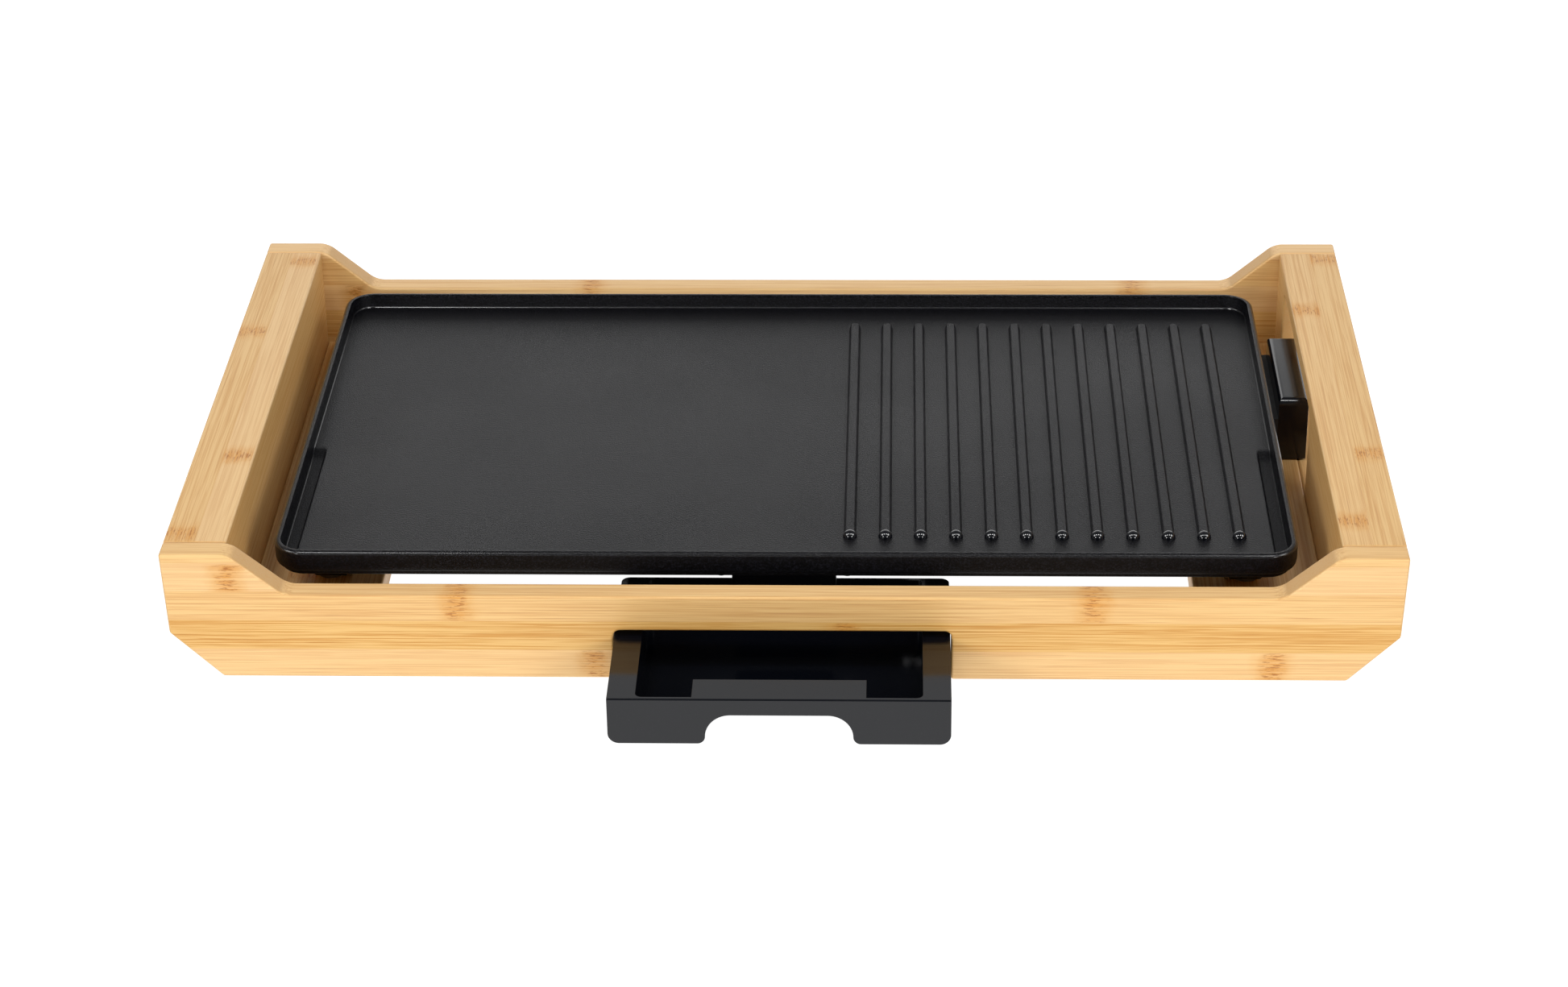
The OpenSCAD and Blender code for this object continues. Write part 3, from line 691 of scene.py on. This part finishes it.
class GRIDDLE_OT_bottom_boards(bpy.types.Operator):
    """Builds the two bottom boards"""

    bl_idname = "griddle.bottom_boards"
    bl_label = "Bottom boards"

    def execute(self, context):
        for side, seed in (("left", 21.0), ("right", 27.0)):
            node = f"{side}_bottom_board"
            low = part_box(node)[0]
            strip = 15.25 * MM
            knuckles = [
                (low.y + 60 * MM, low.x + 22.9 * MM), (low.y + 210 * MM, low.x + 38.1 * MM),
            ]
            name = f"Bamboo, {side} bottom board"
            # The bottom boards' wood is 6 % darker as painted shade, for the shade under the plate
            wood = bamboo(name, ALONG_Y, strip, low.x, seed, knuckles, 0.94)
            finish_piece(f"bottom_board_{side}", bottom_board(node), wood, "frame", [node])
        return {"FINISHED"}


class GRIDDLE_OT_frame_fittings(bpy.types.Operator):
    """Finishes the dowels and the silicone pads under the frame"""

    bl_idname = "griddle.frame_fittings"
    bl_label = "Dowels and pads"

    def execute(self, context):
        finish_node("frame_dowels", dull_solid("Dowel wood", linear(205, 168, 118), 0.6, 0.8, 0.2))
        silicone = dull_solid("Grey silicone", linear(92, 92, 94), 0.55, 0.85, 0.25)
        finish_node("frame_pads", silicone)
        finish_node("leg_pads", silicone)
        return {"FINISHED"}


# ---- Griddle ----


# The plate's widest line lies this far below the rim's top, with an upright band under it
WIDEST_DEPTH = 1.8 * MM
BAND_HEIGHT = 6 * MM
# Sections of the plate's dish, as steps from one line round it to the next: inwards and up, in mm.
# The underside: the skirt's rounded lower edge, then the hollow that the element sits in
UNDER_STEPS = ((0.3, -1.7), (0.35, -0.7), (0.65, -0.3), (1.7, 0), (0, -2.4), (0.6, -0.6))
# The rim: its rounded outer edge, its narrow flat, and its rounded inner edge
RIM_STEPS = (
    (0.12, 0.75), (0.43, 0.6), (0.75, 0.37), (0.55, 0.08), (0.7, 0), (0.2, -0.08), (0.12, -0.3),
)
# The well: wall, rounded foot, gutter floor, and the gutter's eased inner edge. The third number is
# the part of the gutter's depth that the line at the step's start is lowered by
WELL_STEPS = (
    (0.6, -5.92, 0.0), (0.15, -0.3, 1.0), (0.4, -0.4, 1.0), (0.4, 0, 1.0), (4.8, 0, 1.0),
    (0.15, 0, 1.0), (0.7, 0, 0.45), (0.4, 0, 0.07), (0.4, 0, 0.0),
)


def step(bm, face, inwards, up):
    """Insets the face, moves it up and gives the line of vertices it started from."""
    ring = bmesh.ops.inset_region(
        bm, faces=[face], thickness=max(inwards, 0.01) * MM, use_even_offset=True, use_boundary=True
    )["faces"]
    bmesh.ops.translate(bm, verts=face.verts[:], vec=(0, 0, up * MM))
    return {vert for side in ring for vert in side.verts} - set(face.verts)


def sink_drain(bm, low, middle):
    """Sinks the gutter's floor where the drain is, in the middle of the front."""
    half = bpy.context.scene.griddle_plate.drain_length / 2
    gutter_front, gutter_back = low.y + 5.5 * MM, low.y + 9 * MM
    shortest, depth = 3 * MM, 3.5 * MM
    drain = []
    for face in bm.faces:
        centre = face.calc_center_median()
        in_gutter = gutter_front < centre.y < gutter_back and face.normal.z > 0.99
        over_drain = abs(centre.x - middle.x) < half
        if in_gutter and over_drain and min(edge.calc_length() for edge in face.edges) > shortest:
            drain.append(face)
    out = bmesh.ops.extrude_face_region(bm, geom=drain)["geom"]
    bottom = [item for item in out if isinstance(item, bmesh.types.BMVert)]
    bmesh.ops.translate(bm, verts=bottom, vec=(0, 0, -depth))
    bmesh.ops.delete(bm, geom=drain, context="FACES")


def plate_dish():
    """The plate's dish, stepped inwards from its widest line, and the height of the well's floor."""
    sizes = bpy.context.scene.griddle_plate
    low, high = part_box("griddle_plate")
    middle = (low + high) / 2
    corners = [(low.x, low.y), (high.x, low.y), (high.x, high.y), (low.x, high.y)]
    bm = flat_outline([(x, y, high.z - WIDEST_DEPTH) for x, y in corners])
    round_outline(bm, bm.verts[:], sizes.corner_radius, 12)
    bmesh.ops.delete(bm, geom=bm.faces[:], context="FACES_KEEP_BOUNDARY")
    # Points along the front, back and sides, close enough for the gutter's ramp and the drain
    for axis, cuts in ((1, 110), (0, 60)):
        long_sides = [
            edge
            for edge in bm.edges
            if abs(edge.verts[0].co[axis] - edge.verts[1].co[axis]) > 0.1
        ]
        bmesh.ops.subdivide_edges(bm, edges=long_sides, cuts=cuts)
    bmesh.ops.edgeloop_fill(bm, edges=bm.edges[:])
    thicken(bm, (0, 0, -BAND_HEIGHT))
    bm.faces.ensure_lookup_table()
    flats = [face for face in bm.faces if len(face.verts) > 4]
    under, top = sorted(flats, key=lambda face: face.calc_center_median().z)

    for inwards, up in UNDER_STEPS:
        step(bm, under, inwards, up)
    for inwards, up in RIM_STEPS:
        step(bm, top, inwards, up)
    rings = [(step(bm, top, inwards, up), share) for inwards, up, share in WELL_STEPS]
    start = middle.y - sizes.gutter_start
    for verts, share in rings:
        for vert in verts:
            run = min(max((start - vert.co.y) / sizes.gutter_ramp, 0.0), 1.0)
            eased = run * run * (3 - 2 * run)
            vert.co.z -= sizes.gutter_depth * share * eased
    bmesh.ops.recalc_face_normals(bm, faces=bm.faces[:])
    sink_drain(bm, low, middle)
    return bm, top.calc_center_median().z


def add_rib(bm, x, front, back, floor):
    """One rib: its side swept up one flank, round the back end, down the other and round the front."""
    sizes = bpy.context.scene.griddle_plate
    height = sizes.rib_height
    flank = [
        (3.2, -0.5 * MM), (3.1, 0.03 * MM), (2.9, 0.12 * MM), (2.65, 0.3 * height),
        (2.3, 0.68 * height), (2.0, 0.88 * height), (1.7, 0.97 * height), (1.3, height), (0.0, height),
    ]
    verts = [bm.verts.new((x + reach * MM, front, floor + z)) for reach, z in flank]
    chain = [bm.edges.new(pair) for pair in zip(verts, verts[1:])]
    made = list(verts)
    turn = {"axis": (0, 0, 1), "angle": math.pi, "steps": 12, "dvec": (0, 0, 0)}
    for centre, move in (((x, back, 0), back - front), ((x, front, 0), front - back)):
        out = bmesh.ops.extrude_edge_only(bm, edges=chain)["geom"]
        ends = [item for item in out if isinstance(item, bmesh.types.BMVert)]
        bmesh.ops.translate(bm, verts=ends, vec=(0, move, 0))
        made += ends
        edges = [item for item in out if isinstance(item, bmesh.types.BMEdge)]
        chain = [edge for edge in edges if edge.verts[0] in ends and edge.verts[1] in ends]
        before = set(bm.verts)
        out = bmesh.ops.spin(bm, geom=ends + chain, cent=centre, use_merge=False, **turn)
        made += [vert for vert in bm.verts if vert not in before]
        chain = [item for item in out["geom_last"] if isinstance(item, bmesh.types.BMEdge)]
    bmesh.ops.remove_doubles(bm, verts=[v for v in made if v.is_valid], dist=1e-6)
    foot = {edge for vert in made if vert.is_valid for edge in vert.link_edges if edge.is_boundary}
    bmesh.ops.edgeloop_fill(bm, edges=list(foot))


def ribbed_plate():
    """Meshes of the plate, its ribs and the ribs' beads, and the height of the well's floor."""
    sizes = bpy.context.scene.griddle_plate
    dish, floor = plate_dish()
    low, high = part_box("griddle_plate")
    middle = (low.y + high.y) / 2
    front, back = middle - sizes.rib_front, middle + sizes.rib_back
    ribs = bmesh.new()
    beads = bmesh.new()
    for index in range(sizes.rib_count):
        x = sizes.rib_middle + (index - (sizes.rib_count - 1) / 2) * sizes.rib_pitch
        add_rib(ribs, x, front, back, floor)
        place = Matrix.Translation((x, front, floor))
        bmesh.ops.create_uvsphere(
            beads, u_segments=24, v_segments=14, radius=sizes.bead_radius, matrix=place
        )
    bmesh.ops.recalc_face_normals(ribs, faces=ribs.faces[:])
    return dish, ribs, beads, floor


def griddle_legs():
    """The four legs, each with a chamfered outer foot."""
    bm = bmesh.new()
    low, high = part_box("griddle_legs")
    width, depth = 21 * MM, 16 * MM
    toe_in, toe_up = 4 * MM, 5.5 * MM
    heel_in, heel_up = 2.5 * MM, 3 * MM
    for side in (-1, 1):
        outer = high.x if side > 0 else low.x
        profile = [
            (0, high.z), (0, low.z + toe_up), (toe_in, low.z), (width - heel_in, low.z),
            (width, low.z + heel_up), (width, high.z),
        ]
        for y in (low.y, high.y - depth):
            leg = flat_outline([(outer - side * inwards, y, z) for inwards, z in profile])
            thicken(leg, (0, depth, 0))
            ease_edges(leg, 0.9 * MM)
            part = bpy.data.meshes.new("leg")
            leg.to_mesh(part)
            leg.free()
            bm.from_mesh(part)
            bpy.data.meshes.remove(part)
    return bm


class GRIDDLE_OT_plate(bpy.types.Operator):
    """Builds the ribbed cooking plate"""

    bl_idname = "griddle.plate"
    bl_label = "Cooking plate"

    def execute(self, context):
        sizes = context.scene.griddle_plate
        plate, ribs, beads, floor = ribbed_plate()
        gutter = floor - sizes.gutter_depth
        coating = plate_coating("Non-stick coating", gutter, floor, 0.8)
        finish_piece("cooking_plate", plate, coating, "griddle", ["griddle_plate"])
        coating = plate_coating("Non-stick coating, ribs", gutter, floor, 0.0)
        finish_piece("ribs", ribs, coating, "griddle", [])
        glazed = black_plastic("Glazed coating", 0.07, 0.02)
        shader = glazed.node_tree.nodes["Principled BSDF"]
        shader.inputs["Specular IOR Level"].default_value = 0.8
        shader.inputs["Coat Weight"].default_value = 0.3
        finish_piece("rib_beads", beads, glazed, "griddle", [])
        return {"FINISHED"}


class GRIDDLE_OT_legs(bpy.types.Operator):
    """Builds the legs and the drain spout under the plate"""

    bl_idname = "griddle.legs"
    bl_label = "Legs and spout"

    def execute(self, context):
        plastic = black_plastic("Satin black plastic", 0.28, 0.15)
        finish_piece("plate_legs", griddle_legs(), plastic, "griddle", ["griddle_legs"])
        spout = merged_copy("drain_spout")
        ease_edges(spout, 0.4 * MM, 2)
        finish_piece("spout", spout, plastic, "griddle", ["drain_spout"])
        return {"FINISHED"}


class GRIDDLE_OT_heating(bpy.types.Operator):
    """Finishes the heating element, its clips, the leg brackets and every screw"""

    bl_idname = "griddle.heating"
    bl_label = "Element, brackets and screws"

    def execute(self, context):
        stained = bare_metal("Element sheath", linear(128, 124, 120), 0.38, linear(96, 78, 62))
        bright = bare_metal("Bright steel", linear(196, 197, 199), 0.24)
        finish_node("heating_element", stained)
        for node in (
            "element_clips", "clip_screws", "spout_screws", "leg_screws", "leg_brackets",
            "bracket_screws", "socket_strap", "socket_screws", "probe_tube",
        ):
            finish_node(node, bright)
        return {"FINISHED"}


class GRIDDLE_OT_socket(bpy.types.Operator):
    """Builds the thermostat socket and finishes its contacts"""

    bl_idname = "griddle.socket"
    bl_label = "Thermostat socket"

    def execute(self, context):
        housing = merged_copy("socket_housing")
        ease_edges(housing, 0.6 * MM, 3)
        # The neck behind the 14.6 mm deep hood is matt
        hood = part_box("socket_housing")[1].x - 14.6 * MM
        plastic = black_plastic("Gloss black plastic, socket", 0.15, 0.05, hood)
        finish_piece("socket", housing, plastic, "griddle", ["socket_housing"])
        plated = bare_metal("Nickel plate", linear(205, 198, 184), 0.14)
        finish_node("terminal_pins", plated)
        finish_node("earth_tabs", plated)
        finish_node("terminal_block", dull_solid("Ceramic", linear(226, 221, 208), 0.6, 0.9, 0.2))
        return {"FINISHED"}


# ---- Drip tray ----


class GRIDDLE_OT_tray(bpy.types.Operator):
    """Builds the drip tray"""

    bl_idname = "griddle.tray"
    bl_label = "Drip tray"

    def execute(self, context):
        bm = merged_copy("drip_tray")
        low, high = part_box("drip_tray")

        def along_front(edge):
            ends = [vert.co for vert in edge.verts]
            return all(end.z > high.z - 1e-5 and end.y < low.y + 1e-5 for end in ends)

        ease_edges(bm, 0.8 * MM, 4, pick=along_front)
        ease_edges(bm, 0.3 * MM, 2)
        plastic = black_plastic("Gloss black plastic, tray", 0.12, 0.05)
        finish_piece("tray", bm, plastic, "drip_tray", ["drip_tray"])
        return {"FINISHED"}


# ---- Stage ----


class GRIDDLE_OT_stage(bpy.types.Operator):
    """Sets the floor, the light and the camera"""

    bl_idname = "griddle.stage"
    bl_label = "Stage"

    def execute(self, context):
        sizes = context.scene.griddle_stage
        bm = bmesh.new()
        half_width = 6.0
        bmesh.ops.create_grid(bm, x_segments=1, y_segments=1, size=half_width)
        mesh = bpy.data.meshes.new("floor")
        bm.to_mesh(mesh)
        bm.free()
        material = bpy.data.materials.new("Floor")
        material.use_nodes = True
        shader = material.node_tree.nodes["Principled BSDF"]
        shader.inputs["Base Color"].default_value = sizes.floor[:]
        shader.inputs["Roughness"].default_value = 0.9
        shader.inputs["Specular IOR Level"].default_value = 0.1
        shader.inputs["Emission Color"].default_value = (1, 1, 1, 1)
        shader.inputs["Emission Strength"].default_value = 1.0
        mesh.materials.append(material)
        floor = bpy.data.objects.new("floor", mesh)
        context.scene.collection.objects.link(floor)

        world = bpy.data.worlds.new("Studio")
        world.use_nodes = True
        world.node_tree.nodes["Background"].inputs["Color"].default_value = (1, 1, 1, 1)
        world.node_tree.nodes["Background"].inputs["Strength"].default_value = sizes.sky
        context.scene.world = world
        context.scene.view_settings.view_transform = "Standard"

        # Each softbox: its place, width, height and power. All of them face the griddle
        softboxes = [((0, 2.3, 1.4), 3.2, 2.0, sizes.back), ((0, 2.3, 0.65), 3.2, 0.8, sizes.back)]
        for x in (-1, 1):
            softboxes += [
                ((0.65 * x, -0.95, 2.1), 0.5, 0.3, sizes.key),
                ((1.5 * x, -0.6, 1.3), 0.8, 0.8, 1.35 * sizes.key),
                ((1.1 * x, -1.7, 0.55), 0.5, 0.5, 0.9 * sizes.key),
            ]
        for place, width, height, power in softboxes:
            light = bpy.data.lights.new("softbox", "AREA")
            light.shape = "RECTANGLE"
            light.size = width
            light.size_y = height
            light.energy = power
            box = bpy.data.objects.new("softbox", light)
            box.location = place
            box.rotation_euler = (-Vector(place)).to_track_quat("-Z", "Y").to_euler()
            context.scene.collection.objects.link(box)

        data = bpy.data.cameras.new("camera")
        data.lens = sizes.lens
        data.sensor_width = 36.0
        data.clip_start = 0.05
        camera = bpy.data.objects.new("camera", data)
        turn = (
            Matrix.Rotation(sizes.heading, 4, "Z")
            @ Matrix.Rotation(math.pi / 2 - sizes.tilt, 4, "X")
            @ Matrix.Rotation(sizes.roll, 4, "Z")
        )
        eye = (0.0509, -1.5284, 0.8707)
        camera.matrix_world = Matrix.Translation(eye) @ turn
        context.scene.collection.objects.link(camera)
        context.scene.camera = camera
        return {"FINISHED"}


class GRIDDLE_PT_panel(bpy.types.Panel):
    """Lists the griddle's pieces and their sizes"""

    bl_label = "Electric griddle"
    bl_space_type = "VIEW_3D"
    bl_region_type = "UI"
    bl_category = "Griddle"

    def draw(self, context):
        scene = context.scene
        for settings in (scene.griddle_frame, scene.griddle_plate, scene.griddle_stage):
            column = self.layout.column()
            for key in settings.__annotations__:
                column.prop(settings, key)
        for operator in OPERATORS:
            self.layout.operator(operator.bl_idname)


OPERATORS = (
    GRIDDLE_OT_stage,
    GRIDDLE_OT_boards,
    GRIDDLE_OT_rails,
    GRIDDLE_OT_bottom_boards,
    GRIDDLE_OT_frame_fittings,
    GRIDDLE_OT_plate,
    GRIDDLE_OT_legs,
    GRIDDLE_OT_heating,
    GRIDDLE_OT_socket,
    GRIDDLE_OT_tray,
)
SETTINGS = (
    (GriddleFrameSettings, "griddle_frame"),
    (GriddlePlateSettings, "griddle_plate"),
    (GriddleStageSettings, "griddle_stage"),
)


def register():
    for settings, name in SETTINGS:
        bpy.utils.register_class(settings)
        setattr(bpy.types.Scene, name, PointerProperty(type=settings))
    for item in OPERATORS + (GRIDDLE_PT_panel,):
        bpy.utils.register_class(item)


def unregister():
    for item in reversed(OPERATORS + (GRIDDLE_PT_panel,)):
        bpy.utils.unregister_class(item)
    for settings, name in reversed(SETTINGS):
        delattr(bpy.types.Scene, name)
        bpy.utils.unregister_class(settings)


def main():
    register()
    for group in (bamboo_grain, bamboo_knuckle, surface_specks):
        group()
    bpy.ops.griddle.stage()
    bpy.ops.griddle.boards()
    bpy.ops.griddle.rails()
    bpy.ops.griddle.bottom_boards()
    bpy.ops.griddle.frame_fittings()
    bpy.ops.griddle.plate()
    bpy.ops.griddle.legs()
    bpy.ops.griddle.heating()
    bpy.ops.griddle.socket()
    bpy.ops.griddle.tray()


if __name__ == "__main__":
    main()
